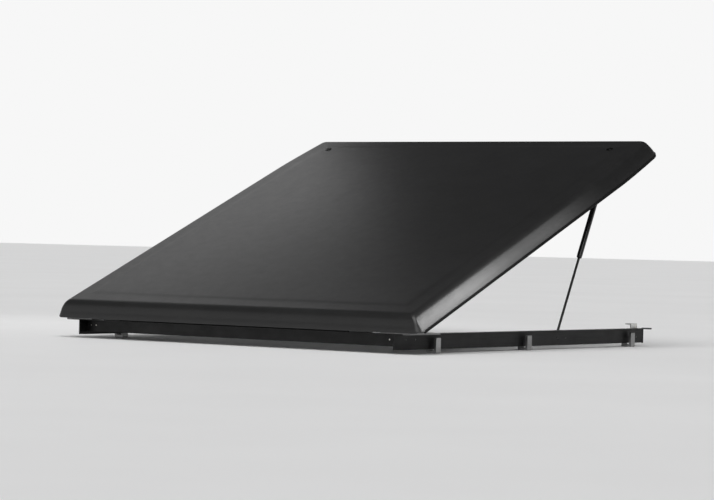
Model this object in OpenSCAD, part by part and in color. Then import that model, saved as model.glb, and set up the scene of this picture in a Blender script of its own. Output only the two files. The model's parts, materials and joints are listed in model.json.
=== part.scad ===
// Hinged one-piece hard cover for a pickup bed, drawn open on its two gas struts.
// Origin: on the bulkhead's top plane, directly below the hinge axis, at the middle of the bed.
// +X is the passenger side, +Y points to the cab, +Z is up. Millimetres.

/* [Lid] */
// Width of the lid's foot across the bed
lid_w = 1764; // [1756:2:1772]
// Reach of the lid forward of its hinge axis
lid_front = 28; // [26:1:30]
// Reach of the lid behind its hinge axis
lid_rear = 1837; // [1830:1:1845]
// Height of the lid's top edge above the bed rails, closed
edge_z = 76; // [76:1:80]
// Height of the skirt's lower edge above the bed rails, closed
skirt_z = 8; // [7:0.5:9]
// Thickness of the moulded outer skin
skin_t = 4; // [3:0.5:4.5]
// Plan radius of the two rear corners
rear_r = 62; // [60:1:80]
// Plan radius of the two front corners
front_r = 30; // [30:1:34]
// How much the lid narrows on each side towards the tailgate
taper = 18; // [10:1:20]
// Length of that narrowing stretch
taper_len = 350; // [300:10:400]
// Radius of the shoulder between skirt and top
shoulder_r = 22; // [16:1:24]
// How far the sloping skirt leans in from upright
side_slope = 28; // [26:1:30]
// Width of the plain border round the raised middle
border_w = 130; // [120:2:136]
// Rise of the middle panel's edge above the border
border_rise = 2.5; // [1:0.5:4]
// Extra height of the middle panel at its centre
crown = 13; // [6:1:18]

/* [Hinge] */
// Angle of the open lid
open_deg = 23; // [18:0.5:25]
// Height of the hinge axis above the bulkhead
hinge_z = 30; // [29:0.5:31]
// Distance of each hinge from the middle
hinge_x = 600; // [560:5:640]
// Diameter of the hinge pins
pin_d = 10; // [8:0.5:10]

/* [Mounting frame] */
// Inner face of each side rail from the middle
rail_x = 762; // [760:1:764]
// Depth of the side rails' webs
rail_depth = 57; // [50:1:60]
// Wall thickness of the aluminium sections
section_t = 3; // [2.5:0.5:3]
// Distance of each clamp behind the hinge axis
clamp_ys = [240, 860, 1638];

/* [Struts] */
// Diameter of the strut cylinders
cylinder_d = 22; // [18:1:22]
// Diameter of the strut rods
rod_d = 10; // [8:1:10]
// Length of a strut's cylinder
cylinder_len = 362; // [340:2:370]

/* [Locks] */
// Distance of each lock from the middle
lock_x = 718; // [710:1:722]
// Distance of each lock behind the hinge axis
lock_y = 1687; // [1680:1:1690]
// Reach of the latch cam from its shaft
cam_reach = 34; // [32:1:35]

/* [Hidden] */

$fn = 48;
cut = 1;                          // how far a cutting tool runs past the face it cuts
run_gap = 0.05;                   // radial gap of a running fit

// Outer skin
corner_steps = 6;                 // points on a plan corner
side_steps = 7;                   // points along a straight side
shoulder_steps = 4;               // faces round the shoulder
half_w = lid_w / 2;
lid_mid_y = (lid_front - lid_rear) / 2;
panel_w = half_w - border_w;      // half width of the raised middle
panel_l = (lid_front + lid_rear) / 2 - border_w;
front_clip = 8;                   // how much shorter the skirt is across the front
lip_h = 4;                        // upright lip at the skirt's foot
lip_in = 0.6;                     // inset of the lip's top
arc_z = edge_z - shoulder_r;      // centre of the shoulder's arc
arc_in = lip_in + shoulder_r * cos(side_slope)
    + (arc_z + shoulder_r * sin(side_slope) - skirt_z - lip_h) * tan(side_slope);

// Inside of the lid
liner_z = 43;                     // underside of the liner's plate
liner_t = 3;
liner_inset = 26;                 // the plate's edge
liner_foot = 5.2;                 // outer edge of the flange round its foot
liner_open = -12;                 // the rim and flange stop here, behind the hinges
rib_depth = 6;
rib_w = 36;
rib_field = [1380, 1500];         // size of the ribbed middle
rib_mid_y = -885;
tube = 25;                        // side of the square stiffening tubes
tube_wall = 1.5;
tube_z = liner_z + liner_t;
tube_x = 800;                     // outer face of the side stiffeners
tube_front_y = -25;
tube_rear_y = -1770;
cross_ys = [560, 1070, 1580];     // middle of each cross member behind the hinge axis

// Hinges
ear_t = 6;
ear_gap = 38;
knuckle_w = 36;
knuckle_r = 10;
foot = [80, 44, 4];               // hinge base's foot plate
leaf_t = 4;
leaf_len = 75;

// Bolts
bolt_r = 3;
bolt_hole_r = 3.3;
head_r = 5;
head_h = 3.5;
leaf_bolts = [-10, 10];           // places across a hinge leaf
bracket_bolts = [712, 730];       // places along the foot of a strut's upper bracket
foot_bolts = [[-34, -20], [34, -20], [-34, 2], [34, 2]];

// Mounting frame
header_rear = -34;
header_front = 14;
header_depth = 45;
header_half = 760;
flange_out = 805;
web_t = 4;
cap_t = 5;                        // plastic caps on the rails' rear ends
cap_proud = 1.5;
rail_rear = -1750;
plate_t = 4;                      // pressed steel brackets
bracket_out = 830;
bracket_rear = -190;
bracket_in = 700;
bracket_drop = 42;
plate_x = rail_x - plate_t;       // inner face of a bracket bolted to a rail
web_bolts = [[-62, -20], [-122, -20], [-1095, -30], [-1155, -30], [-1672, -32], [-1702, -32]];
header_bolt_xs = [715, 740];

// Clamps
clamp_w = 30;
clamp_leg = 10;
clamp_in = 742;
clamp_out = 788;
clamp_floor = -72;
clamp_top = -14;
clamp_screw_z = -34;
clamp_screw_r = 4;
pad_t = 4;
pad_r = 9;

// Struts: ball centres, the upper one where the closed lid has it and then opened
strut_x = 738;
strut_low = [strut_x, -1125, -30];
strut_eye = [strut_x, -1580, 16];
strut_high = opened(strut_eye);
strut_len = norm(strut_high - strut_low);
strut_rise = atan2(strut_high[2] - strut_low[2], strut_low[1] - strut_high[1]);
ball_r = 6.5;
stud_r = 4;
socket_r = 9.5;
socket_len = 24;                  // from the ball's centre to the end of the neck
cylinder_start = strut_len - socket_len - cylinder_len;
cylinder_wall = 1.5;
gland_len = 20;
rod_end = cylinder_start + 52;
ear_x = strut_x + 13;             // inner face of the upper bracket's ear

// Locks
lock_r = 10;
plug_r = 6;
bezel_r = 14;
bezel_h = 3;
cam_z = 12;                       // underside of the cam, lid closed
cam_t = 5;
cam_w = 16;
shaft_r = 4;
shaft_top = 54;                   // where the cam's shaft meets the key plug
striker_z = cam_z + cam_t + 1;    // underside of the striker's tab

// A point of the closed lid, carried to where the open lid has it
function opened(p) = [
    p[0],
    p[1] * cos(open_deg) + (p[2] - hinge_z) * sin(open_deg),
    hinge_z - p[1] * sin(open_deg) + (p[2] - hinge_z) * cos(open_deg)];

// Height of the top skin's upper face inside the border
function bulge(u) = max(0, 1 - u * u);
function top_z(x, y) = edge_z + border_rise
    + crown * bulge(x / panel_w) * bulge((y - lid_mid_y) / panel_l);
lock_top = top_z(lock_x, -lock_y);

// The lid's outline moved inward: points only, in order round the lid
taper_deg = atan2(taper, taper_len);
function corner(cx, cy, r, from, to) = [
    for (i = [0 : corner_steps])
        let (a = from + (to - from) * i / corner_steps) [cx + r * cos(a), cy + r * sin(a)]];
function between(a, b) = [for (i = [1 : side_steps]) a + (b - a) * i / (side_steps + 1)];
function plan(inset) =
    let (rf = max(front_r - inset, 3), rr = max(rear_r - inset, 10),
         x = half_w - inset, yf = lid_front - inset, yr = inset - lid_rear, xr = x - taper,
         turn = max(taper_len - lid_rear, yr + rr + 60),
         c = [corner(x - rf, yf - rf, rf, 0, 90), corner(rf - x, yf - rf, rf, 90, 180), [[-x, turn]],
              corner(rr - xr, yr + rr, rr, 180 + taper_deg, 270),
              corner(xr - rr, yr + rr, rr, 270, 360 - taper_deg), [[x, turn]]])
    [for (k = [0 : 5]) each concat(c[k], between(c[k][len(c[k]) - 1], c[(k + 1) % 6][0]))];

// Lower edge of the skirt, which is clipped short across the front
function skirt_foot(y) = skirt_z + front_clip * min(1, max(0, (y + 4) / 22));

// The skin's rings from its foot up to the middle: [inset, height, what the height is measured from]
FOOT = 0;
LEVEL = 1;
CROWNED = 2;
function skin_rings(t) = concat(
    [[t, 0, FOOT], [lip_in + t, lip_h, FOOT]],
    [for (i = [0 : shoulder_steps])
        let (a = side_slope + (90 - side_slope) * i / shoulder_steps, r = shoulder_r - t)
            [arc_in - r * cos(a), arc_z + r * sin(a), LEVEL]],
    [[border_w - 22, edge_z + 1 - t, LEVEL]],
    [for (s = [0, 0.06, 0.2, 0.4, 0.6, 0.8]) [border_w + s * (panel_w - 60), 0, CROWNED]]);
function skin_ring(ring, t) =
    [for (p = plan(ring[0]))
        [p[0], p[1], ring[2] == FOOT ? skirt_foot(p[1]) + ring[1]
            : ring[2] == LEVEL ? ring[1] : top_z(p[0], p[1]) - t]];
inner_rings = skin_rings(skin_t);
skin_loops = concat(
    [for (ring = skin_rings(0)) skin_ring(ring, 0)],
    [for (i = [len(inner_rings) - 1 : -1 : 0]) skin_ring(inner_rings[i], skin_t)]);

module lid_place() {
    translate([0, 0, hinge_z]) rotate([-open_deg, 0, 0]) translate([0, 0, -hinge_z]) children();
}

module left() { mirror([1, 0, 0]) children(); }

module both() {
    children();
    left() children();
}

// Closed shell through loops of equal length, joined end to end into a ring of walls
module shell(loops) {
    n = len(loops[0]);
    m = len(loops) / 2;
    points = concat([for (l = loops) each l],
        [[0, lid_mid_y, top_z(0, lid_mid_y)], [0, lid_mid_y, top_z(0, lid_mid_y) - skin_t]]);
    top = 2 * m * n;
    walls = [for (k = [0 : 2 * m - 1], i = [0 : n - 1]) if (k != m - 1)
        let (a = k * n, b = ((k + 1) % (2 * m)) * n, j = (i + 1) % n) each
        [[b + i, a + j, a + i], [b + i, b + j, a + j]]];
    upper = [for (i = [0 : n - 1]) [top, (m - 1) * n + (i + 1) % n, (m - 1) * n + i]];
    lower = [for (i = [0 : n - 1]) [top + 1, m * n + i, m * n + (i + 1) % n]];
    polyhedron(points, concat(walls, upper, lower), convexity = 6);
}

// Area inside the lid's outline with true round corners
module outline(inset) {
    rr = rear_r - inset;
    rf = max(front_r - inset, 3);
    x = half_w - inset;
    front = lid_front - inset;
    rear = inset - lid_rear;
    both() union() {
        polygon([[0, front], [x - rf, front], [x, front - rf], [x, taper_len - lid_rear],
            [x - taper, rear + rr], [x - taper - rr, rear], [0, rear]]);
        translate([x - taper - rr, rear + rr]) circle(rr);
        translate([x - rf, front - rf]) circle(rf);
    }
}

// Places of the bolts that hold the hinge leaves and upper brackets to the lid's tubes
module at_lid_bolts() {
    both() {
        for (x = leaf_bolts) translate([hinge_x + x, tube_front_y - tube / 2, 0]) children();
        for (x = bracket_bolts) translate([x, -cross_ys[2], 0]) children();
    }
}

module lid_bolt_holes() {
    at_lid_bolts() translate([0, 0, liner_z - leaf_t - cut]) cylinder(r = bolt_hole_r, h = 16);
}

// Button head bolt: its head sits below z = 0 and its shank runs up
module bolt(shank) {
    difference() {
        union() {
            cylinder(r = bolt_r, h = shank);
            translate([0, 0, -head_h]) cylinder(r1 = head_r - 1, r2 = head_r, h = 1.2);
            translate([0, 0, 1.2 - head_h]) cylinder(r = head_r, h = head_h - 1.2);
        }
        translate([0, 0, -head_h - cut]) cylinder(r = 2, h = cut + 2, $fn = 6);
    }
}

module top_skin() {
    color("#242526") lid_place() difference() {
        shell(skin_loops);
        both() translate([lock_x, -lock_y, liner_z]) cylinder(r = lock_r + 0.4, h = 60);
    }
}

// Liner: a plate, a rim down to the skirt's foot and a flange under it, both open across the front
module inner_liner() {
    color("#1c1d1e") lid_place() difference() {
        union() {
            translate([0, 0, liner_z]) linear_extrude(liner_t) outline(liner_inset);
            translate([0, 0, skirt_z]) linear_extrude(liner_z - skirt_z + 1) liner_ring(liner_inset);
            translate([0, 0, skirt_z]) linear_extrude(liner_t) liner_ring(liner_foot);
            rib_grid();
        }
        both() translate([lock_x, -lock_y, 0]) cylinder(r = lock_r + 0.3, h = 60);
        lid_bolt_holes();
    }
}

module liner_ring(outer) {
    difference() {
        outline(outer);
        outline(liner_inset + liner_t);
        translate([-lid_w, liner_open]) square([2 * lid_w, 100]);
    }
}

// Moulded grid of ribs under the liner, left by rows of pockets
module rib_grid() {
    columns = 4;
    rows = 6;
    pocket = [(rib_field[0] - rib_w) / columns - rib_w, (rib_field[1] - rib_w) / rows - rib_w];
    difference() {
        translate([-rib_field[0] / 2, rib_mid_y - rib_field[1] / 2, liner_z - rib_depth])
            cube([rib_field[0], rib_field[1], rib_depth + 1]);
        for (i = [0 : columns - 1], j = [0 : rows - 1])
            translate([-rib_field[0] / 2 + rib_w + i * (pocket[0] + rib_w),
                       rib_mid_y - rib_field[1] / 2 + rib_w + j * (pocket[1] + rib_w),
                       liner_z - rib_depth - cut])
                cube([pocket[0], pocket[1], rib_depth + cut]);
    }
}

module perimeter_seal() {
    low = 0.5;
    h = skirt_z - low;
    color("#101010") lid_place() translate([0, 0, low]) difference() {
        linear_extrude(h) outline(1);
        translate([0, 0, -cut]) linear_extrude(h + 2 * cut) outline(11);
        translate([-lid_w, liner_open, -cut]) cube([2 * lid_w, 100, h + 2 * cut]);
    }
}

// Square tube lying along X or Y
module tube_x(length) {
    difference() {
        translate([-length / 2, -tube / 2, 0]) cube([length, tube, tube]);
        translate([-length / 2 - cut, tube_wall - tube / 2, tube_wall])
            cube([length + 2 * cut, tube - 2 * tube_wall, tube - 2 * tube_wall]);
    }
}

module stiffener_front() {
    color("#5c6063") lid_place() difference() {
        translate([0, tube_front_y - tube / 2, tube_z]) tube_x(2 * tube_x);
        lid_bolt_holes();
    }
}

module stiffener_rear() {
    color("#5c6063") lid_place()
        translate([0, tube_rear_y + tube / 2, tube_z]) tube_x(2 * tube_x);
}

module side_stiffener() {
    length = tube_front_y - tube_rear_y - 2 * tube;
    color("#5c6063") lid_place()
        translate([tube_x - tube / 2, (tube_front_y + tube_rear_y) / 2, tube_z])
            rotate([0, 0, 90]) tube_x(length);
}

module cross_member(y) {
    color("#5c6063") lid_place() difference() {
        translate([0, -y, tube_z]) tube_x(2 * (tube_x - tube));
        lid_bolt_holes();
    }
}

module hinge_leaf() {
    color("#2b2c2e") lid_place() difference() {
        translate([hinge_x - knuckle_w / 2, 0, 0]) union() {
            translate([0, 0, hinge_z]) rotate([0, 90, 0]) cylinder(r = knuckle_r, h = knuckle_w);
            translate([0, -leaf_len, liner_z - leaf_t]) cube([knuckle_w, leaf_len, leaf_t]);
            translate([0, -knuckle_r, hinge_z]) cube([knuckle_w, knuckle_r, liner_z - hinge_z]);
        }
        hinge_bore();
        lid_bolt_holes();
    }
}

module hinge_bore() {
    translate([hinge_x - 50, 0, hinge_z]) rotate([0, 90, 0]) cylinder(d = pin_d + 2 * run_gap, h = 100);
}

module strut_upper_bracket() {
    ear = [4, 28];
    top = strut_eye;
    color("#2b2c2e") lid_place() difference() {
        union() {
            translate([bracket_in, top[1] - 30, liner_z - leaf_t])
                cube([ear_x + ear[0] - bracket_in, 60, leaf_t]);
            translate([ear_x, top[1] - ear[1] / 2, top[2]]) cube([ear[0], ear[1], liner_z - top[2]]);
            translate([ear_x, top[1], top[2]]) rotate([0, 90, 0]) cylinder(r = ear[1] / 2, h = ear[0]);
            translate([ear_x + ear[0], top[1], top[2]]) rotate([0, 90, 0]) cylinder(r = 6, h = 2.5);
        }
        lid_bolt_holes();
    }
}

module lock_housing() {
    base = 26;
    color("#161617") lid_place() translate([lock_x, -lock_y, 0]) difference() {
        union() {
            translate([0, 0, base]) cylinder(r = lock_r, h = lock_top - base + 1);
            translate([0, 0, lock_top + 0.4]) cylinder(r1 = bezel_r, r2 = bezel_r - 2, h = bezel_h);
        }
        translate([0, 0, base - cut]) cylinder(r = plug_r + run_gap, h = lock_top);
    }
}

module lock_nuts() {
    color("#6a6d70") lid_place() both() translate([lock_x, -lock_y, liner_z - 6]) difference() {
        cylinder(r = 15, h = 6, $fn = 6);
        translate([0, 0, -cut]) cylinder(r = lock_r, h = 8);
    }
}

module bump_stops() {
    gap = 0.4;
    color("#151515") lid_place() both() for (y = [640, 1730])
        translate([785, -y, section_t + gap]) rotate_extrude() polygon([
            [0, 0], [6, 0], [9, 3], [9, 12], [11, 16], [11, liner_z - section_t - gap],
            [0, liner_z - section_t - gap]]);
}

module lid_bolts() {
    color("#6a6d70") lid_place() at_lid_bolts()
        translate([0, 0, liner_z - leaf_t]) bolt(leaf_t + liner_t + 5);
}

module key_plug() {
    top = lock_top + 2.6;
    base = shaft_top;
    color("#8d9093") lid_place() translate([lock_x, -lock_y, 0]) difference() {
        translate([0, 0, base]) cylinder(r = plug_r, h = top - base);
        translate([-1, -4, top - 6]) cube([2, 8, 6 + cut]);
    }
}

// Cam on its shaft, pointing to the tailgate when unlocked
module latch_cam() {
    shaft_low = 8;
    color("#7c8083") lid_place() translate([lock_x, -lock_y, 0]) union() {
        translate([0, 0, shaft_low]) cylinder(r = shaft_r, h = shaft_top - shaft_low);
        translate([0, 0, cam_z]) cylinder(d = cam_w, h = cam_t);
        translate([-cam_w / 2, cam_w / 2 - cam_reach, cam_z]) cube([cam_w, cam_reach - cam_w / 2, cam_t]);
        translate([0, cam_w / 2 - cam_reach, cam_z]) cylinder(d = cam_w, h = cam_t);
        translate([0, 0, shaft_low]) cylinder(r = 6.5, h = cam_z - shaft_low, $fn = 6);
    }
}

// A length of section run across the bulkhead, its outer corner at the header's rear edge
module along_header() {
    translate([-header_half, header_rear, 0]) rotate([90, 0, 90]) linear_extrude(2 * header_half) children();
}

module front_header() {
    color("#1f2022") difference() {
        along_header() web_leg(header_depth);
        both() for (x = header_bolt_xs)
            translate([x, header_rear - 20, -20]) rotate([-90, 0, 0]) cylinder(r = bolt_hole_r, h = 40);
    }
}

module header_flange() {
    color("#1f2022") difference() {
        along_header() flange_leg(header_front - header_rear);
        both() translate([hinge_x, 0, 0]) foot_holes();
    }
}

module foot_holes() {
    for (p = foot_bolts) translate([p[0], p[1], -5]) cylinder(r = bolt_hole_r, h = 20);
}

// The two legs of an L section, outer corner at [0, section_t], parted by a mitre through that corner.
// The web hangs inside the bed and the flange lies on the bed's edge.
module web_leg(depth) {
    polygon([[0, section_t], [0, -depth], [web_t, -depth], [web_t, 0]]);
}

module flange_leg(reach) {
    polygon([[0, section_t], [web_t, 0], [reach, 0], [reach, section_t]]);
}

// A length of section run along the bed
module along_rail(front, rear) {
    translate([0, front, 0]) rotate([90, 0, 0]) linear_extrude(front - rear) children();
}

module side_rail() {
    color("#1f2022") difference() {
        along_rail(header_front, rail_rear) translate([rail_x, 0]) web_leg(rail_depth);
        at_web_bolts() cylinder(r = bolt_hole_r, h = 30, center = true);
    }
}

module rail_flange() {
    color("#1f2022") along_rail(header_front, rail_rear)
        translate([rail_x, 0]) flange_leg(flange_out - rail_x);
}

// Places of the bolts through a side rail's web, axis outward, on the bracket's inner face
module at_web_bolts() {
    for (p = web_bolts) translate([plate_x, p[0], p[1]]) rotate([0, 90, 0]) children();
}

module rail_end_caps() {
    width = flange_out - rail_x;
    color("#121212") both() along_rail(rail_rear, rail_rear - cap_t) translate([rail_x - cap_proud, 0]) {
        translate([0, -rail_depth - cap_proud])
            square([web_t + 2 * cap_proud, rail_depth + section_t + 2 * cap_proud]);
        translate([0, -cap_proud]) square([width + 2 * cap_proud, section_t + 2 * cap_proud]);
    }
}

// Pressed corner piece, over the top and down the inside of the header and a side rail
module corner_bracket() {
    low = section_t;
    color("#55585b") difference() {
        union() {
            translate([bracket_in, header_rear - plate_t, low])
                cube([bracket_out - bracket_in, header_front - header_rear + plate_t, section_t]);
            translate([plate_x, bracket_rear, low]) cube([bracket_out - plate_x, -bracket_rear, section_t]);
            translate([flange_out, bracket_rear, 0])
                cube([bracket_out - flange_out, header_front - bracket_rear, low + 1]);
            translate([bracket_in, header_rear - plate_t, -bracket_drop])
                cube([rail_x - bracket_in, plate_t, bracket_drop + low + 1]);
            translate([plate_x, -150, -bracket_drop])
                cube([plate_t, 150 + header_rear, bracket_drop + low + 1]);
        }
        at_web_bolts() cylinder(r = bolt_hole_r, h = 30, center = true);
        for (x = header_bolt_xs)
            translate([x, header_rear - 20, -20]) rotate([-90, 0, 0]) cylinder(r = bolt_hole_r, h = 40);
    }
}

module bulkhead_seal() {
    color("#101010") translate([-555, 1, section_t]) cube([1110, 11, 5]);
}

module hinge_base() {
    ear_r = 9.5;
    color("#2b2c2e") translate([hinge_x, 0, section_t]) difference() {
        union() {
            translate([-foot[0] / 2, -30, 0]) cube([foot[0], foot[1] - 4, foot[2]]);
            for (s = [-1, 1]) translate([s * (ear_gap + ear_t) / 2 - ear_t / 2, 0, 0]) {
                translate([0, 0, hinge_z - section_t]) rotate([0, 90, 0]) cylinder(r = ear_r, h = ear_t);
                translate([0, -ear_r, 0]) cube([ear_t, 2 * ear_r, hinge_z - section_t]);
            }
        }
        translate([-hinge_x, 0, -section_t]) hinge_bore();
        foot_holes();
    }
}

module hinge_pins() {
    color("#9a9da0") both() translate([hinge_x - 34, 0, hinge_z]) rotate([0, 90, 0]) difference() {
        union() {
            cylinder(d = pin_d, h = 66);
            translate([0, 0, 5]) cylinder(r = 7, h = 3);
        }
        translate([0, 0, 62]) rotate([90, 0, 0]) cylinder(r = 1.3, h = 20, center = true);
    }
}

// Wire clip through the free end of each pin
module hinge_clips() {
    color("#b4b7ba") both() translate([hinge_x + 28, 0, hinge_z]) rotate([90, 0, 0]) {
        translate([0, 0, -9]) cylinder(r = 1.2, h = 18, $fn = 24);
    }
}

module striker() {
    half = 25;
    color("#7c8083") difference() {
        union() {
            translate([plate_x, -lock_y - half, -48]) cube([plate_t, 2 * half, striker_z + 48 + 4]);
            translate([735, -lock_y - half, striker_z]) cube([plate_x - 735 + 1, 2 * half, 4]);
        }
        at_web_bolts() cylinder(r = bolt_hole_r, h = 30, center = true);
    }
}

module strut_lower_bracket() {
    color("#2b2c2e") difference() {
        translate([plate_x, strut_low[1] - 42, -50]) cube([plate_t, 84, 40]);
        at_web_bolts() cylinder(r = bolt_hole_r, h = 30, center = true);
        translate([plate_x - cut, strut_low[1], strut_low[2]])
            rotate([0, 90, 0]) cylinder(r = stud_r, h = 10);
    }
}

// Ball stud along +X from its ball, with a collar that ends at the plate
module ball_stud(collar_end, tail) {
    rotate([0, 90, 0]) union() {
        sphere(ball_r);
        cylinder(r = stud_r, h = collar_end + tail);
        translate([0, 0, collar_end - 2.7]) cylinder(r = 7, h = 2.7);
    }
}

module lower_ball_studs() {
    color("#9a9da0") both() translate(strut_low) ball_stud(plate_x - strut_x, plate_t);
}

module frame_bolts() {
    color("#6a6d70") both() {
        at_web_bolts() bolt(plate_t + web_t);
        for (x = header_bolt_xs)
            translate([x, header_rear - plate_t, -20]) rotate([-90, 0, 0]) bolt(plate_t + web_t);
        for (p = foot_bolts)
            translate([hinge_x + p[0], p[1], section_t + foot[2]])
                rotate([180, 0, 0]) bolt(section_t + foot[2]);
    }
}

// J-shaped jaw that reaches under a side rail and grips the bed's inner lip
module clamp(y) {
    height = clamp_top - clamp_floor;
    color("#8b8e91") difference() {
        translate([0, clamp_w / 2 - y, 0]) rotate([90, 0, 0]) linear_extrude(clamp_w) difference() {
            translate([clamp_in, clamp_floor]) square([clamp_out - clamp_in, height]);
            translate([clamp_in + clamp_leg, clamp_floor + clamp_leg])
                square([clamp_out - clamp_in - 2 * clamp_leg, height]);
        }
        translate([clamp_in - cut, -y, clamp_screw_z])
            rotate([0, 90, 0]) cylinder(r = clamp_screw_r, h = clamp_leg + 2 * cut);
    }
}

module clamps() {
    for (y = clamp_ys) clamp(y);
}

module clamp_screws() {
    reach = rail_x - pad_t - clamp_in;
    color("#6a6d70") both() for (y = clamp_ys)
        translate([clamp_in - 8, -y, clamp_screw_z]) rotate([0, 90, 0]) union() {
            cylinder(r = clamp_screw_r, h = reach + 8);
            translate([0, 0, -7]) cylinder(r = 7.5, h = 7, $fn = 6);
        }
}

module clamp_pads() {
    color("#151515") both() for (y = clamp_ys) {
        for (x = [rail_x - pad_t, clamp_out - clamp_leg - pad_t])
            translate([x, -y, clamp_screw_z]) rotate([0, 90, 0]) cylinder(r = pad_r, h = pad_t);
    }
}

// Strut's own axis: z runs from the lower ball to the upper one
module along_strut() {
    translate(strut_low) rotate([90 - strut_rise, 0, 0]) children();
}

module strut_rod() {
    piston_h = 12;
    color("#3a3c3f") along_strut() union() {
        translate([0, 0, socket_len]) cylinder(d = rod_d, h = rod_end - socket_len);
        translate([0, 0, rod_end]) cylinder(r = cylinder_d / 2 - cylinder_wall - run_gap, h = piston_h);
    }
}

// Socket whose mouth takes the ball from the side
module ball_socket() {
    mouth_r = 6;
    difference() {
        union() {
            rotate([0, 0, 90]) sphere(socket_r);
            cylinder(r = 7, h = socket_len);
        }
        rotate([0, 90, 0]) union() {
            sphere(ball_r + run_gap);
            cylinder(r = mouth_r, h = 20);
        }
    }
}

module strut_lower_socket() {
    color("#1b1b1c") along_strut() ball_socket();
}

module strut_upper_socket() {
    color("#1b1b1c") along_strut() translate([0, 0, strut_len]) mirror([0, 0, 1]) ball_socket();
}

module strut_cylinder() {
    color("#111213") along_strut() translate([0, 0, cylinder_start]) difference() {
        cylinder(d = cylinder_d, h = cylinder_len);
        translate([0, 0, -cut]) cylinder(d = cylinder_d - 2 * cylinder_wall, h = cylinder_len - 4);
    }
}

module strut_gland() {
    color("#1b1b1c") along_strut() translate([0, 0, cylinder_start]) difference() {
        cylinder(d = cylinder_d - 2 * cylinder_wall, h = gland_len);
        translate([0, 0, -cut]) cylinder(d = rod_d + 2 * run_gap, h = gland_len + 2 * cut);
    }
}

module upper_ball_stud() {
    color("#9a9da0") along_strut() translate([0, 0, strut_len]) ball_stud(ear_x - strut_x - 0.3, 0);
}

top_skin();
inner_liner();
perimeter_seal();
stiffener_front();
stiffener_rear();
left() side_stiffener();  // stiffener_left
side_stiffener();  // stiffener_right
cross_member(cross_ys[0]);  // cross_member_front
cross_member(cross_ys[1]);  // cross_member_middle
cross_member(cross_ys[2]);  // cross_member_rear
left() hinge_leaf();  // hinge_leaf_left
hinge_leaf();  // hinge_leaf_right
left() strut_upper_bracket();  // strut_upper_bracket_left
strut_upper_bracket();  // strut_upper_bracket_right
left() lock_housing();  // lock_housing_left
lock_housing();  // lock_housing_right
lock_nuts();
bump_stops();
lid_bolts();
left() key_plug();  // key_plug_left
key_plug();  // key_plug_right
left() latch_cam();  // latch_cam_left
latch_cam();  // latch_cam_right
front_header();
header_flange();
left() side_rail();  // side_rail_left
side_rail();  // side_rail_right
left() rail_flange();  // rail_flange_left
rail_flange();  // rail_flange_right
rail_end_caps();
left() corner_bracket();  // corner_bracket_left
corner_bracket();  // corner_bracket_right
bulkhead_seal();
left() hinge_base();  // hinge_base_left
hinge_base();  // hinge_base_right
hinge_pins();
hinge_clips();
left() striker();  // striker_left
striker();  // striker_right
left() strut_lower_bracket();  // strut_lower_bracket_left
strut_lower_bracket();  // strut_lower_bracket_right
lower_ball_studs();
frame_bolts();
left() clamps();  // clamps_left
clamps();  // clamps_right
clamp_screws();
clamp_pads();
left() strut_rod();  // strut_rod_left
strut_rod();  // strut_rod_right
left() strut_lower_socket();  // strut_lower_socket_left
strut_lower_socket();  // strut_lower_socket_right
left() strut_cylinder();  // strut_cylinder_left
strut_cylinder();  // strut_cylinder_right
left() strut_gland();  // strut_gland_left
strut_gland();  // strut_gland_right
left() strut_upper_socket();  // strut_upper_socket_left
strut_upper_socket();  // strut_upper_socket_right
left() upper_ball_stud();  // upper_ball_stud_left
upper_ball_stud();  // upper_ball_stud_right
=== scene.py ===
"""Looks of a hinged hard cover for a pickup bed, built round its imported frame. Metres, in the row frame."""
import json
import math

import bmesh
import bpy
from mathutils import Matrix, Vector


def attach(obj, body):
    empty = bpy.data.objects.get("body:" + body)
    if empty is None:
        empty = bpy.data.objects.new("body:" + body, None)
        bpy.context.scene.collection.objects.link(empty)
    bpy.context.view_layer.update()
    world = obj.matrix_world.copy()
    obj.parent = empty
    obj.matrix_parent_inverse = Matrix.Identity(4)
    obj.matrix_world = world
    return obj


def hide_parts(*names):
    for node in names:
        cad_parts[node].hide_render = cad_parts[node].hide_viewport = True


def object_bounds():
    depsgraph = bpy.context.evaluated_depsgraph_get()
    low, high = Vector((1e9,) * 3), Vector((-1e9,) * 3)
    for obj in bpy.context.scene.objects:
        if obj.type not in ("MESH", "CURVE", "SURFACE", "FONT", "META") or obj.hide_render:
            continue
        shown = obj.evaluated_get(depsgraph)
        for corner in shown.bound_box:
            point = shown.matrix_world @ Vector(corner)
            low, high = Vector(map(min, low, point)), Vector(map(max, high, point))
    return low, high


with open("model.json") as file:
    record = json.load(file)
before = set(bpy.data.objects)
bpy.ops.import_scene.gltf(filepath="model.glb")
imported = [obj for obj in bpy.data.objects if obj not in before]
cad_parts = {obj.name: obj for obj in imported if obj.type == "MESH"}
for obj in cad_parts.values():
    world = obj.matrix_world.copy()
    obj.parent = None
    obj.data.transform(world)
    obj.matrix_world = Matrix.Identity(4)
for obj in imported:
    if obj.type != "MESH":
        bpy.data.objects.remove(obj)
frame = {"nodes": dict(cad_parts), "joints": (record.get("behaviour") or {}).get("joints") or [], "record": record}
cad_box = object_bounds()

MM = 0.001
NEAR_AXIS = 0.01 * MM
EDGE_EASE = 0.6 * MM
SECTION_T = 3 * MM
WEB_T = 4 * MM
LOCK_HOLE_R = 10.4 * MM
LINER_HOLE_R = 10.3 * MM
HOLE_FRAME = 12 * MM
NODES = frame["nodes"]
JOINTS = {j["name"]: j for j in frame["joints"]}
BODY_OF = {n: b for b, ns in frame["record"]["behaviour"]["bodies"].items() for n in ns}
SIDES = {"left": -1, "right": 1}

# The lid is modelled closed, then turned open about its hinge
HINGE = Vector(JOINTS["lid_hinge"]["pos_m"])
OPEN = math.radians(JOINTS["lid_hinge"]["range_deg"][1])
LID = Matrix.Translation(HINGE) @ Matrix.Rotation(-OPEN, 4, "X") @ Matrix.Translation(-HINGE)


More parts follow.
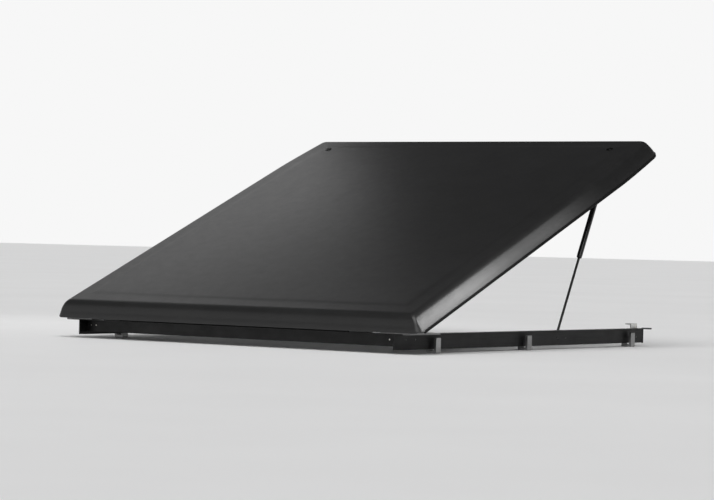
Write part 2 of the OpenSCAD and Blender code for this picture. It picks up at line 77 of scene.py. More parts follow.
# ---------------------------------------------------------------- measuring the frame

def box_of(node, place=Matrix.Identity(4)):
    """Lowest and highest corner of a CAD node, in the coordinates that place carries to the row frame."""
    back = place.inverted()
    points = [back @ v.co for v in NODES[node].data.vertices]
    low = Vector([min(p[i] for p in points) for i in range(3)])
    high = Vector([max(p[i] for p in points) for i in range(3)])
    return low, high


def middle(node, place=Matrix.Identity(4)):
    low, high = box_of(node, place)
    return (low + high) / 2


# ---------------------------------------------------------------- making meshes

def piece(name, verts, faces, place=Matrix.Identity(4), sharp=32):
    """A closed mesh object with smooth faces and sharp edges above an angle in degrees."""
    mesh = bpy.data.meshes.new(name)
    mesh.from_pydata([tuple(place @ Vector(v)) for v in verts], [], faces)
    work = bmesh.new()
    work.from_mesh(mesh)
    bmesh.ops.recalc_face_normals(work, faces=work.faces)
    work.to_mesh(mesh)
    work.free()
    mesh.shade_smooth()
    mesh.set_sharp_from_angle(angle=math.radians(sharp))
    obj = bpy.data.objects.new(name, mesh)
    bpy.context.scene.collection.objects.link(obj)
    return obj


def join(parts):
    """(verts, faces) of several meshes as one."""
    verts, faces = [], []
    for v, f in parts:
        base = len(verts)
        verts += v
        faces += [tuple(base + i for i in face) for face in f]
    return verts, faces


def skin_loops(loops, ring=False):
    """Quads between neighbouring loops of equal length. ring joins the last loop to the first.

    Without ring, both ends are closed.
    """
    n = len(loops[0])
    verts = [v for loop in loops for v in loop]
    steps = len(loops) if ring else len(loops) - 1
    faces = []
    for k in range(steps):
        a, b = k * n, (k + 1) % len(loops) * n
        for i in range(n):
            j = (i + 1) % n
            faces.append((a + i, a + j, b + j, b + i))
    if not ring:
        faces += [tuple(range(n - 1, -1, -1)), tuple(range((len(loops) - 1) * n, len(loops) * n))]
    return verts, faces


def rounded(points, radii, steps=5):
    """The outline through 2D points with each corner rounded."""
    out = []
    for i, p in enumerate(points):
        r = radii[i] if isinstance(radii, (list, tuple)) else radii
        p = Vector(p)
        a = (Vector(points[i - 1]) - p).normalized()
        b = (Vector(points[(i + 1) % len(points)]) - p).normalized()
        half = a.angle(b) / 2
        if r <= 0 or half > math.radians(89):
            out.append(tuple(p))
            continue
        centre = p + (a + b).normalized() * r / math.sin(half)
        start, end = p + a * r / math.tan(half), p + b * r / math.tan(half)
        a0 = math.atan2(start.y - centre.y, start.x - centre.x)
        turn = math.atan2(end.y - centre.y, end.x - centre.x) - a0
        turn = (turn + math.pi) % (2 * math.pi) - math.pi
        for k in range(steps + 1):
            t = a0 + turn * k / steps
            out.append((centre.x + r * math.cos(t), centre.y + r * math.sin(t)))
    return out


def extrude(outline, low, high, chamfer=EDGE_EASE):
    """A solid whose outline lies in the XY plane, from z = low to z = high, with eased ends."""
    turning = sum(a[0] * b[1] - b[0] * a[1] for a, b in zip(outline, outline[1:] + outline[:1]))
    side = 1 if turning > 0 else -1

    def loop(z, inward):
        out = []
        n = len(outline)
        for i, p in enumerate(outline):
            a, b = Vector(outline[i - 1]), Vector(outline[(i + 1) % n])
            along = (b - a).normalized()
            normal = Vector((-along.y, along.x)) * side
            out.append((p[0] + normal.x * inward, p[1] + normal.y * inward, z))
        return out

    first = [loop(low, chamfer), loop(low + chamfer, 0)]
    last = [loop(high - chamfer, 0), loop(high, chamfer)]
    return skin_loops(first + last)


def revolve(profile, segments=48):
    """A solid of revolution about Z from (z, radius) pairs, whose ends may lie on the axis."""
    angles = [2 * math.pi * i / segments for i in range(segments)]
    loops = []
    for z, r in profile:
        r = max(r, NEAR_AXIS)
        loops.append([(r * math.cos(a), r * math.sin(a), z) for a in angles])
    return skin_loops(loops)


def cut(obj, tools):
    """Takes closed meshes, each (verts, faces), out of an object."""
    for verts, faces in tools:
        tool = piece("tool", verts, faces)
        mod = obj.modifiers.new("cut", "BOOLEAN")
        mod.operation = "DIFFERENCE"
        mod.solver = "EXACT"
        mod.object = tool
        bpy.context.view_layer.update()
        done = bpy.data.meshes.new_from_object(obj.evaluated_get(bpy.context.evaluated_depsgraph_get()))
        obj.modifiers.clear()
        obj.data = done
        bpy.data.objects.remove(tool)
    return obj


def moved(mesh, place):
    verts, faces = mesh
    return [tuple(place @ Vector(v)) for v in verts], faces


def flipped(mesh):
    """The same mesh on the other side of the middle plane."""
    verts, faces = mesh
    return [(-v[0], v[1], v[2]) for v in verts], [tuple(reversed(f)) for f in faces]


def on_side(mesh, side):
    return mesh if SIDES[side] > 0 else flipped(mesh)


def dress(obj, body, material, replaces=()):
    obj.data.materials.clear()
    obj.data.materials.append(material)
    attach(obj, body)
    if replaces:
        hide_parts(*replaces)
    return obj


def finish_node(node, material):
    """A CAD node that keeps its shape: eased edges and a material."""
    obj = NODES[node]
    obj.data.materials.clear()
    obj.data.materials.append(material)
    obj.data.shade_smooth()
    weld = obj.modifiers.new("weld", "WELD")
    weld.merge_threshold = 1e-6
    bevel = obj.modifiers.new("ease", "BEVEL")
    bevel.width = EDGE_EASE
    bevel.segments = 2
    bevel.limit_method = "ANGLE"
    bevel.angle_limit = math.radians(35)
    bevel.harden_normals = False
    normals = obj.modifiers.new("normals", "WEIGHTED_NORMAL")
    normals.keep_sharp = True


# ---------------------------------------------------------------- materials

class Surface:
    """A material under construction: a Principled shader and short names for the nodes it uses."""

    def __init__(self, name, rough, metal=0.0, spec=0.5):
        self.material = bpy.data.materials.new(name)
        self.material.use_nodes = True
        self.tree = self.material.node_tree
        self.shader = self.tree.nodes["Principled BSDF"]
        self.shader.inputs["Roughness"].default_value = rough
        self.shader.inputs["Metallic"].default_value = metal
        self.shader.inputs["Specular IOR Level"].default_value = spec
        self.place = self.tree.nodes.new("ShaderNodeTexCoord").outputs["Object"]
        self.bump = None

    def link(self, a, b):
        self.tree.links.new(a, b)

    def noise(self, scale, detail=3.0, rough=0.55, stretch=(1, 1, 1)):
        mapping = self.tree.nodes.new("ShaderNodeMapping")
        mapping.inputs["Scale"].default_value = stretch
        self.link(self.place, mapping.inputs["Vector"])
        node = self.tree.nodes.new("ShaderNodeTexNoise")
        node.inputs["Scale"].default_value = scale
        node.inputs["Detail"].default_value = detail
        node.inputs["Roughness"].default_value = rough
        self.link(mapping.outputs["Vector"], node.inputs["Vector"])
        return node.outputs["Fac"]

    def cells(self, scale):
        node = self.tree.nodes.new("ShaderNodeTexVoronoi")
        node.feature = "SMOOTH_F1"
        node.inputs["Scale"].default_value = scale
        self.link(self.place, node.inputs["Vector"])
        return node.outputs["Distance"]

    def ramp(self, fac, stops):
        node = self.tree.nodes.new("ShaderNodeValToRGB")
        for k, (at, value) in enumerate(stops):
            stop = node.color_ramp.elements[k] if k < 2 else node.color_ramp.elements.new(at)
            stop.position = at
            stop.color = (*value, 1) if isinstance(value, tuple) else (value, value, value, 1)
        self.link(fac, node.inputs["Fac"])
        return node.outputs["Color"]

    def colour(self, fac, stops):
        self.link(self.ramp(fac, stops), self.shader.inputs["Base Color"])
        return self

    def roughness(self, fac, stops):
        self.link(self.ramp(fac, stops), self.shader.inputs["Roughness"])
        return self

    def relief(self, height, depth, strength=1.0):
        """Adds bumps whose full height is depth metres, on top of those already there."""
        node = self.tree.nodes.new("ShaderNodeBump")
        node.inputs["Strength"].default_value = strength
        node.inputs["Distance"].default_value = depth
        self.link(height, node.inputs["Height"])
        if self.bump:
            self.link(self.bump, node.inputs["Normal"])
        self.bump = node.outputs["Normal"]
        self.link(self.bump, self.shader.inputs["Normal"])
        return self


def grained_plastic(name, dark, light, rough, grain, depth):
    """Moulded black plastic with a fine leathery grain and faint cloudiness."""
    s = Surface(name, rough)
    s.colour(s.noise(7.0, 5, 0.65), [(0.3, dark), (0.7, light)])
    s.roughness(s.noise(23.0, 6, 0.7), [(0.3, rough - 0.02), (0.72, rough + 0.03)])
    s.relief(s.cells(grain), depth, 0.5)
    s.relief(s.noise(grain * 2.3, 2), depth * 0.5, 0.4)
    return s.material


def rubber(name, tone):
    s = Surface(name, 0.7, spec=0.12)
    s.colour(s.noise(35, 4), [(0.3, tone * 0.8), (0.75, tone * 1.6)])
    s.roughness(s.noise(60, 3), [(0.3, 0.62), (0.7, 0.8)])
    s.relief(s.noise(900, 2), 0.00015, 0.5)
    return s.material


def powder_coat(name, tone):
    """Black powder coat: orange peel and a little dust."""
    s = Surface(name, 0.42)
    s.colour(s.noise(22, 5), [(0.35, tone), (0.8, tone * 1.5)])
    s.roughness(s.noise(45, 4), [(0.3, 0.36), (0.75, 0.52)])
    s.relief(s.cells(520), 0.00012, 0.5)
    return s.material


def brushed(name, low, high, rough, stretch):
    """Metal with fine lines drawn along the axis that stretch leaves smallest."""
    s = Surface(name, rough, metal=1.0)
    lines = s.noise(260, 3, 0.6, stretch)
    s.colour(s.noise(14, 5), [(0.3, low), (0.72, high)])
    s.roughness(lines, [(0.3, rough - 0.07), (0.7, rough + 0.1)])
    s.relief(lines, 0.00004, 0.4)
    return s.material


def zinc_plate(name):
    """Bright zinc with a faint warm and blue bloom."""
    s = Surface(name, 0.3, metal=1.0)
    blue, grey, warm = (0.50, 0.52, 0.55), (0.62, 0.62, 0.60), (0.66, 0.62, 0.52)
    s.colour(s.noise(70, 4), [(0.25, blue), (0.5, grey), (0.78, warm)])
    s.roughness(s.noise(160, 3), [(0.3, 0.24), (0.75, 0.42)])
    s.relief(s.noise(700, 2), 0.00005, 0.4)
    return s.material


def gloss_paint(name, tone, spec=0.5):
    """Stoved black paint: smooth, with faint orange peel and fine scuffs along it."""
    s = Surface(name, 0.22, spec=spec)
    s.colour(s.noise(18, 4), [(0.3, tone), (0.8, tone * 1.4)])
    s.roughness(s.noise(90, 4, 0.6, (1, 0.15, 0.15)), [(0.35, 0.16), (0.8, 0.36)])
    s.relief(s.noise(240, 2), 0.00005, 0.35)
    return s.material


def floor_paint(name):
    s = Surface(name, 0.75, spec=0.2)
    s.colour(s.noise(0.8, 3), [(0.3, 0.86), (0.7, 0.89)])
    s.roughness(s.noise(2.5, 3), [(0.3, 0.7), (0.7, 0.8)])
    return s.material


M = {
    "skin": grained_plastic("skin_plastic", 0.0075, 0.0105, 0.40, 620, 0.00022),
    "liner": grained_plastic("liner_plastic", 0.024, 0.036, 0.52, 420, 0.0003),
    "seal": rubber("seal_rubber", 0.004),
    "tube": brushed("tube_aluminium", 0.52, 0.68, 0.38, (0.06, 1, 1)),
    "black_steel": powder_coat("black_steel", 0.011),
    "lock": gloss_paint("lock_black", 0.0025, 0.12),
    "zinc": zinc_plate("zinc_steel"),
    "plug": brushed("lock_metal", 0.012, 0.02, 0.5, (1, 1, 1)),
    "rail": brushed("rail_aluminium", 0.022, 0.034, 0.42, (1, 0.03, 1)),
    "header": brushed("header_aluminium", 0.022, 0.034, 0.42, (0.03, 1, 1)),
    "bracket": brushed("bracket_grey", 0.13, 0.19, 0.45, (1, 0.1, 1)),
    "cap": grained_plastic("cap_plastic", 0.010, 0.016, 0.5, 900, 0.0001),
    "clamp": brushed("clamp_aluminium", 0.26, 0.36, 0.48, (1, 0.08, 1)),
    "strut": gloss_paint("strut_paint", 0.008),
    "rod": brushed("rod_steel", 0.022, 0.036, 0.3, (1, 0.1, 0.1)),
    "floor": floor_paint("floor_paint"),
}

# ---------------------------------------------------------------- the lid's outline and top

skin_low, skin_high = box_of("top_skin", LID)
HALF_W = skin_high.x
FRONT = skin_high.y
REAR = skin_low.y
FOOT_Z = skin_low.z
MID_Y = (FRONT + REAR) / 2
EDGE_Z = 76 * MM
SKIN_T = 4 * MM
REAR_R = 62 * MM
FRONT_R = 30 * MM
LEAST_R = 12 * MM
TAPER = 18 * MM
TAPER_LEN = 350 * MM
SHOULDER_R = 38 * MM
SLOPE = math.radians(28)
LIP_H = 4 * MM
LIP_IN = 0.6 * MM
BORDER_W = 130 * MM
BORDER_RISE = 2.5 * MM
CROWN = skin_high.z - EDGE_Z - BORDER_RISE
PANEL_W = HALF_W - BORDER_W
PANEL_L = (FRONT - REAR) / 2 - BORDER_W
FRONT_CLIP = 8 * MM
FRONT_CLIP_FROM = -4 * MM
FRONT_CLIP_LEN = 22 * MM

# The skirt's slope bulges a little, so that it meets the shoulder at a flatter angle than its own
SKIRT_BULGE = 1.8 * MM
SHOULDER_LOW = math.radians(34.5)
ARC_Z = EDGE_Z - SHOULDER_R
SLOPE_TOP = ARC_Z + SHOULDER_R * math.sin(SHOULDER_LOW) - FOOT_Z
ARC_IN = LIP_IN + (SLOPE_TOP - LIP_H) * math.tan(SLOPE) + SHOULDER_R * math.cos(SHOULDER_LOW)


def spread(count, a, b):
    return [a + (b - a) * i / (count - 1) for i in range(count)]


def arc(cx, cy, r, start, end, steps=12):
    angles = [math.radians(a) for a in spread(steps + 1, start, end)]
    return [(cx + r * math.cos(a), cy + r * math.sin(a)) for a in angles]


def between(a, b, count):
    """Evenly spaced points between two ends, without the ends."""
    return [(a[0] + (b[0] - a[0]) * i / (count + 1), a[1] + (b[1] - a[1]) * i / (count + 1))
            for i in range(1, count + 1)]


def rear_corner(inset):
    """The right rear corner, from its rear end round to the side."""
    r = max(REAR_R - inset, LEAST_R)
    return arc(HALF_W - inset - TAPER - r, REAR + inset + r, r, 270, 356)


def right_side(inset, front, count=44):
    """The lid's right side from its rear corner to y = front. It narrows towards the tailgate."""
    low = rear_corner(inset)[-1][1]
    turn = max(REAR + TAPER_LEN, low + 60 * MM)
    out = []
    for y in spread(count + 2, low, front)[1:]:
        t = max(0, (turn - y) / (turn - low))
        out.append((HALF_W - inset - TAPER * t ** 1.4, y))
    return out


def plan(inset):
    """The lid's outline moved inward, as points in order round the lid."""
    rf = max(FRONT_R - inset, LEAST_R)
    x, yf = HALF_W - inset, FRONT - inset
    half = rear_corner(inset) + right_side(inset, yf - rf)[:-1] + arc(x - rf, yf - rf, rf, 0, 90)
    half += between(half[-1], (0, yf), 14)
    half = between((0, REAR + inset), half[0], 14) + half
    return half + [(-px, py) for px, py in reversed(half)]


def foot_z(y):
    """Lower edge of the skirt, clipped short across the front."""
    return FOOT_Z + FRONT_CLIP * min(1, max(0, (y - FRONT_CLIP_FROM) / FRONT_CLIP_LEN))


def top_z(x, y):
    u, v = x / PANEL_W, (y - MID_Y) / PANEL_L
    return EDGE_Z + BORDER_RISE + CROWN * max(0, 1 - u * u) * max(0, 1 - v * v)


def ring_at(inset, height):
    """One ring of the lid. height is a number, or a function of a point's x and y."""
    return [(x, y, height(x, y) if callable(height) else height) for x, y in plan(inset)]


def shoulder(first, last, steps, grow=0.0):
    """Rings of the rolled edge between skirt and top, angles in degrees above level."""
    r = SHOULDER_R + grow
    return [ring_at(ARC_IN - r * math.cos(math.radians(a)), ARC_Z + r * math.sin(math.radians(a)))
            for a in spread(steps, first, last)]


def slope_rings(steps, grow=0.0):
    """Rings up the sloping skirt, from just over its lip to just under the shoulder."""
    rings = []
    for u in spread(steps, 0.03, 0.94):
        h = LIP_H + u * (SLOPE_TOP - LIP_H)
        inset = LIP_IN + grow + (h - LIP_H) * math.tan(SLOPE) - SKIRT_BULGE * 4 * u * (1 - u)
        rings.append(ring_at(inset, lambda x, y, h=h: skirt_z(y, h)))
    return rings


def skirt_z(y, height):
    """A height on the skirt, squeezed up where the foot is clipped short."""
    reach = ARC_Z - FOOT_Z
    return FOOT_Z + height + (foot_z(y) - FOOT_Z) * max(0, 1 - height / reach)


def panel_rings(drop, count):
    """Rings of the crowned panel, drop under its top, closing in from its border to its middle."""
    reach = PANEL_W - 60 * MM
    return [ring_at(BORDER_W + reach * s ** 1.25, lambda x, y: top_z(x, y) - drop)
            for s in spread(count, 0, 1)]


def frame_face(obj, centre, half):
    """Splits the faces over and under a point along a square round it. A hole there then stays inside it."""
    work = bmesh.new()
    work.from_mesh(obj.data)
    for axis in ((1, 0, 0), (-1, 0, 0), (0, 1, 0), (0, -1, 0)):
        at = centre + Vector(axis) * half
        near = [f for f in work.faces if face_covers(f, centre, half)]
        geometry = near + list({e for f in near for e in f.edges}) + list({v for f in near for v in f.verts})
        bmesh.ops.bisect_plane(work, geom=geometry, plane_co=at, plane_no=axis, dist=1e-6)
    work.to_mesh(obj.data)
    work.free()


def face_covers(face, centre, half):
    xs = [v.co.x for v in face.verts]
    ys = [v.co.y for v in face.verts]
    meets_in_x = min(xs) < centre.x + half and max(xs) > centre.x - half
    meets_in_y = min(ys) < centre.y + half and max(ys) > centre.y - half
    return meets_in_x and meets_in_y


def top_skin():
    outer = [ring_at(i * MM, lambda x, y, dz=dz: foot_z(y) + dz * MM)
             for i, dz in ((1.4, 0), (0.6, 0.25), (0.15, 0.9), (0.2, 2.4))]
    outer += slope_rings(9) + shoulder(math.degrees(SHOULDER_LOW), 90, 12)
    border = [(66, 0.05), (84, 0.3), (98, 0.6), (106, 0.9), (114, 1.5), (122, 2.2)]
    outer += [ring_at(i * MM, EDGE_Z + dz * MM) for i, dz in border]
    outer += panel_rings(0, 16)
    inner = [ring_at(i * MM, lambda x, y, dz=dz: foot_z(y) + dz * MM) for i, dz in ((3.2, 0), (4.0, 0.4))]
    inner += slope_rings(4, SKIN_T) + shoulder(math.degrees(SHOULDER_LOW), 90, 5, -SKIN_T)
    inner += [ring_at(106 * MM, EDGE_Z - SKIN_T)] + panel_rings(SKIN_T, 6)
    verts, faces = skin_loops(list(reversed(inner)) + outer)
    skin = piece("top_skin_shell", verts, faces, sharp=60)
    holes = []
    for side in SIDES:
        low, high = box_of("lock_housing_" + side, LID)
        centre = (low + high) / 2
        frame_face(skin, centre, HOLE_FRAME)
        hole = revolve([(low.z, LOCK_HOLE_R), (high.z + 20 * MM, LOCK_HOLE_R)], 32)
        holes.append(moved(hole, Matrix.Translation((centre.x, centre.y, 0))))
    cut(skin, holes)
    skin.data.transform(LID)
    return dress(skin, "lid", M["skin"], ["top_skin"])


def smooth_step(t):
    t = min(1, max(0, t))
    return t * t * (3 - 2 * t)


def pocket_lines(low, high, count, rib, draft, steps=4):
    """Grid lines across a row of pockets, each with its depth: 0 on a rib and 1 on a pocket's floor."""
    lines = [(low, 0.0), (low + 1.2 * MM, 0.0)]
    pitch = (high - low - rib) / count
    for k in range(count):
        a = low + rib + k * pitch
        b = low + (k + 1) * pitch
        lines += [(a + draft * s / steps, smooth_step(s / steps)) for s in range(steps + 1)]
        lines += [(a + (b - a) * s / 4, 1.0) for s in (1, 2, 3)]
        lines += [(b - draft * (1 - s / steps), smooth_step(1 - s / steps)) for s in range(steps + 1)]
    return lines + [(high - 1.2 * MM, 0.0), (high, 0.0)]


def rib_grid(floor_z, rib_z, field):
    """The moulded ribs under the liner, as a slab whose lower face has rounded pockets."""
    x0, x1, y0, y1 = field
    xs = pocket_lines(x0, x1, 4, 36 * MM, 9 * MM)
    ys = pocket_lines(y0, y1, 6, 36 * MM, 9 * MM)
    edge = 1.4 * MM

    def height(i, j):
        rim = i in (0, len(xs) - 1) or j in (0, len(ys) - 1)
        return rib_z + (edge if rim else 0) + (floor_z - 0.3 * MM - rib_z) * xs[i][1] * ys[j][1]

    nx, ny = len(xs), len(ys)
    verts = [(xs[i][0], ys[j][0], height(i, j)) for j in range(ny) for i in range(nx)]
    faces = [(j * nx + i, (j + 1) * nx + i, (j + 1) * nx + i + 1, j * nx + i + 1)
             for j in range(ny - 1) for i in range(nx - 1)]
    border = [i for i in range(nx)] + [j * nx + nx - 1 for j in range(1, ny)]
    border += [(ny - 1) * nx + i for i in range(nx - 2, -1, -1)] + [j * nx for j in range(ny - 2, 0, -1)]
    base = len(verts)
    verts += [(verts[k][0], verts[k][1], floor_z + 1.5 * MM) for k in border]
    n = len(border)
    faces += [(border[k], border[(k + 1) % n], base + (k + 1) % n, base + k) for k in range(n)]
    faces.append(tuple(base + k for k in range(n)))
    return verts, faces


def inner_liner():
    """Plate, rim and foot flange as one moulding. The rim and flange are open across the front."""
    low, high = box_of("inner_liner", LID)
    t = 3 * MM
    edge = 26 * MM
    flange = HALF_W - high.x
    top, floor_z = high.z, high.z - t
    foot = low.z

    def fillet(r, inset, z, first, last):
        return [ring_at(inset + r * math.cos(math.radians(a)), z + r * math.sin(math.radians(a)))
                for a in spread(5, first, last)]

    rings = [ring_at(edge + 60 * MM, top)] + fillet(2.5 * MM, edge + 2.5 * MM, top - 2.5 * MM, 90, 180)
    rings += fillet(3 * MM, edge - 3 * MM, foot + t + 3 * MM, 0, -90)
    rings += [ring_at(flange + 0.5 * MM, foot + t), ring_at(flange, foot + t - 0.5 * MM)]
    rings += [ring_at(flange, foot + 0.5 * MM), ring_at(flange + 0.5 * MM, foot)]
    rings += fillet(5 * MM, edge + t - 5 * MM, foot + 5 * MM, -90, 0)
    rings += fillet(7 * MM, edge + t + 7 * MM, floor_z - 7 * MM, 180, 90)
    rings += [ring_at(edge + 60 * MM, floor_z), ring_at(edge + 110 * MM, floor_z)]
    liner = piece("inner_liner_shell", *skin_loops(rings))
    mouth = [(-HALF_W, -12 * MM), (HALF_W, -12 * MM), (HALF_W, FRONT + 20 * MM), (-HALF_W, FRONT + 20 * MM)]
    tools = [extrude(mouth, foot - 20 * MM, floor_z, 0)]
    for side in SIDES:
        lock = middle("lock_housing_" + side, LID)
        frame_face(liner, lock, HOLE_FRAME)
        hole = revolve([(foot, LINER_HOLE_R), (top + 5 * MM, LINER_HOLE_R)], 32)
        tools.append(moved(hole, Matrix.Translation((lock.x, lock.y, 0))))
    cut(liner, tools)
    ribs = rib_grid(floor_z, floor_z - 6 * MM, (-690 * MM, 690 * MM, -1635 * MM, -135 * MM))
    grid = piece("grid", *ribs, sharp=40)
    work = bmesh.new()
    work.from_mesh(liner.data)
    work.from_mesh(grid.data)
    work.to_mesh(liner.data)
    work.free()
    bpy.data.objects.remove(grid)
    liner.data.transform(LID)
    liner.data.shade_smooth()
    liner.data.set_sharp_from_angle(angle=math.radians(40))
    return dress(liner, "lid", M["liner"], ["inner_liner"])


def side_path(inset, front):
    """The lid's outline without its front: down the right side, round the rear and up the left side."""
    right = right_side(inset, front)[::-1] + rear_corner(inset)[::-1]
    rear = between(right[-1], (-right[-1][0], right[-1][1]), 24)
    return right + rear + [(-x, y) for x, y in reversed(right)]


def perimeter_seal():
    """Bulb seal under the skirt's foot, a wiper fin inside it and a trim that wraps the foot's lip."""
    low, high = box_of("perimeter_seal", LID)
    base = rounded([(0.4, 6.1), (10.8, 6.1), (10.8, 8.0), (0.4, 8.0)], 0.6, 3)
    bulb = [(4.3 + 3.6 * math.cos(t * math.pi / 8), 4.0 + 3.4 * math.sin(t * math.pi / 8)) for t in range(16)]
    fin = rounded([(8.2, 3.0), (9.4, 3.2), (10.2, 6.6), (8.6, 6.6)], 0.4, 2)
    trim = rounded([(-1.0, 4.6), (1.0, 4.6), (0.8, 8.4), (0.6, 15.0), (-0.7, 15.0)], 0.5, 3)
    parts = []
    for outline in (base, bulb, fin, trim):
        paths = [[(x, y, p[1] * MM) for x, y in side_path(p[0] * MM, high.y)] for p in outline]
        parts.append(skin_loops([list(loop) for loop in zip(*paths)]))
    return dress(piece("perimeter_seal_bulb", *join(parts), place=LID, sharp=50), "lid", M["seal"],
                 ["perimeter_seal"])


top_skin()
inner_liner()
perimeter_seal()

# ---------------------------------------------------------------- the mounting frame

def along_y(outline, y0, y1):
    """Extrudes an XZ outline along Y."""
    verts, faces = extrude(outline, -y1, -y0)
    return [(x, -z, y) for x, y, z in verts], faces


def along_x(outline, x0, x1):
    """Extrudes a YZ outline along X."""
    verts, faces = extrude(outline, x0, x1)
    return [(z, x, y) for x, y, z in verts], faces


def rail_outline(low, high):
    """L section with a bead at each free edge and two shallow grooves down the web's inner face."""
    x0, x1 = low.x, high.x
    groove_x = x0 + 0.8 * MM
    pts = [(x0, high.z)]
    for z in (-14 * MM, -46 * MM):
        pts += [(x0, z + 1.2 * MM), (groove_x, z + 0.4 * MM), (groove_x, z - 0.4 * MM), (x0, z - 1.2 * MM)]
    pts += [(x0, low.z), (x0 + WEB_T, low.z), (x0 + WEB_T, high.z - SECTION_T)]
    pts += [(x1, high.z - SECTION_T), (x1, high.z)]
    radii = [1.2 * MM] + [0] * 8 + [1.2 * MM, 0.8 * MM, 1.0 * MM, 0.8 * MM, 1.2 * MM]
    return rounded(pts, radii, 4)


def side_rails():
    """Each rail is one extrusion, which stands for its web's node and its flange's."""
    low = box_of("side_rail_right")[0]
    high = box_of("rail_flange_right")[1]
    mesh = along_y(rail_outline(low, high), low.y, high.y)
    for side in SIDES:
        dress(piece("side_rail_" + side + "_extrusion", *on_side(mesh, side)), "mount_frame", M["rail"],
              ["side_rail_" + side, "rail_flange_" + side])


def front_header():
    """One extrusion, which stands for its web's node and its flange's."""
    low = box_of("front_header")[0]
    high = box_of("header_flange")[1]
    y0, y1 = low.y, high.y
    pts = [(y0, high.z), (y0, low.z), (y0 + WEB_T, low.z), (y0 + WEB_T, high.z - SECTION_T)]
    pts += [(y1, high.z - SECTION_T), (y1, high.z)]
    outline = rounded(pts, [1.2 * MM, 1.2 * MM, 0.8 * MM, 1 * MM, 0.8 * MM, 1.2 * MM], 4)
    dress(piece("front_header_extrusion", *along_x(outline, low.x, high.x)), "mount_frame", M["header"],
          ["front_header", "header_flange"])


def bulkhead_seal():
    """A foam strip with a rounded back."""
    low, high = box_of("bulkhead_seal")
    half_w, half_h = (high.y - low.y) / 2, (high.z - low.z) / 2
    pts = [(low.y, low.z), (high.y, low.z), (high.y, low.z + half_h)]
    for a in range(15, 180, 15):
        turn = math.radians(a)
        pts.append((low.y + half_w + half_w * math.cos(turn), low.z + half_h + half_h * math.sin(turn)))
    pts.append((low.y, low.z + half_h))
    dress(piece("bulkhead_seal_strip", *along_x(pts, low.x, high.x)), "mount_frame", M["seal"],
          ["bulkhead_seal"])


def clamps():
    """Three J-shaped jaws on each side, at the front, middle and rear of the rail."""
    low, high = box_of("clamps_right")
    leg = 10 * MM
    width = 30 * MM
    pts = [(low.x, low.z), (high.x, low.z), (high.x, high.z), (high.x - leg, high.z)]
    pts += [(high.x - leg, low.z + leg), (low.x + leg, low.z + leg), (low.x + leg, high.z), (low.x, high.z)]
    outline = rounded(pts, [4 * MM, 4 * MM, 2 * MM, 2 * MM, 3 * MM, 3 * MM, 2 * MM, 2 * MM], 5)
    middle_y = -860 * MM
    places = (("front", high.y - width), ("middle", middle_y - width / 2), ("rear", low.y))
    for side in SIDES:
        for where, y in places:
            mesh = along_y(outline, y, y + width)
            jaw = piece(f"clamp_{side}_{where}_jaw", *on_side(mesh, side))
            dress(jaw, "mount_frame", M["clamp"], ["clamps_" + side])


side_rails()
front_header()
bulkhead_seal()
clamps()

# ---------------------------------------------------------------- the struts

def strut_frame(side):
    """The strut's own axis: Z from the lower ball to the upper one, X to the passenger side."""
    low = Vector(JOINTS[f"strut_{side}_pivot"]["pos_m"])
    along = Vector(JOINTS[f"strut_{side}_slide"]["axis"]).normalized()
    x = Vector((1, 0, 0))
    y = along.cross(x)
    turn = Matrix((x, y, along)).transposed().to_4x4()
    return Matrix.Translation(low) @ turn


def strut_cylinder(side):
    """The tube with its crimped mouth, its rounded end and the bore that the rod runs in."""
    place = strut_frame(side)
    low, high = box_of("strut_cylinder_" + side, place)
    r = high.x - middle("strut_cylinder_" + side, place).x
    z0, z1 = low.z, high.z
    drawn_r = 11
    mouth = [(0, 5.4), (0, 8.6), (0.6, 9.7), (2.2, 10.4), (4.2, 10.5), (5.6, 10.2), (6.6, 10.2), (8, 10.95)]
    mouth.append((10, drawn_r))
    profile = [(z0 + z * MM, mouth_r / drawn_r * r) for z, mouth_r in mouth]
    profile += [(z1 - 9 * MM, r), (z1 - 4.5 * MM, r * 0.985), (z1 - 2 * MM, r * 0.92)]
    profile += [(z1 - 0.5 * MM, r * 0.78), (z1, r * 0.6), (z1, 0)]
    bore = [(z0 + 30 * MM, 0), (z0 + 30 * MM, 5.3 * MM), (z0, 5.3 * MM)]
    mesh = revolve(bore + profile)
    tube = piece(f"strut_cylinder_{side}_tube", *mesh, place=place, sharp=30)
    dress(tube, "strut_cylinder_" + side, M["strut"],
          ["strut_cylinder_" + side, "strut_gland_" + side])


def socket_clip(side, end):
    """Spring wire clip round a ball socket."""
    node = f"strut_{end}_socket_{side}"
    body = BODY_OF[node]
    place = strut_frame(side)
    low, high = box_of(node, place)
    sign = 1 if end == "lower" else -1
    centre = Vector((middle(node, place).x, 0, low.z + 9.5 * MM if end == "lower" else high.z - 9.5 * MM))
    curve = bpy.data.curves.new(f"socket_clip_{end}_{side}", "CURVE")
    curve.dimensions = "3D"
    curve.bevel_depth = 0.8 * MM
    curve.bevel_resolution = 3
    spline = curve.splines.new("POLY")
    points = []
    for k in range(25):
        a = math.radians(-160 + 320 * k / 24)
        points.append(centre + Vector((4.2 * MM, 9.3 * MM * math.sin(a), -sign * 9.3 * MM * math.cos(a))))
    points.append(points[-1] + Vector((-6 * MM, 0, sign * 3 * MM)))
    spline.points.add(len(points) - 1)
    for p, q in zip(spline.points, points):
        p.co = (*(place @ q), 1)
    obj = bpy.data.objects.new(curve.name, curve)
    bpy.context.scene.collection.objects.link(obj)
    dress(obj, body, M["zinc"])


for side in SIDES:
    strut_cylinder(side)
    for end in ("lower", "upper"):
        socket_clip(side, end)

# ---------------------------------------------------------------- locks and bump stops

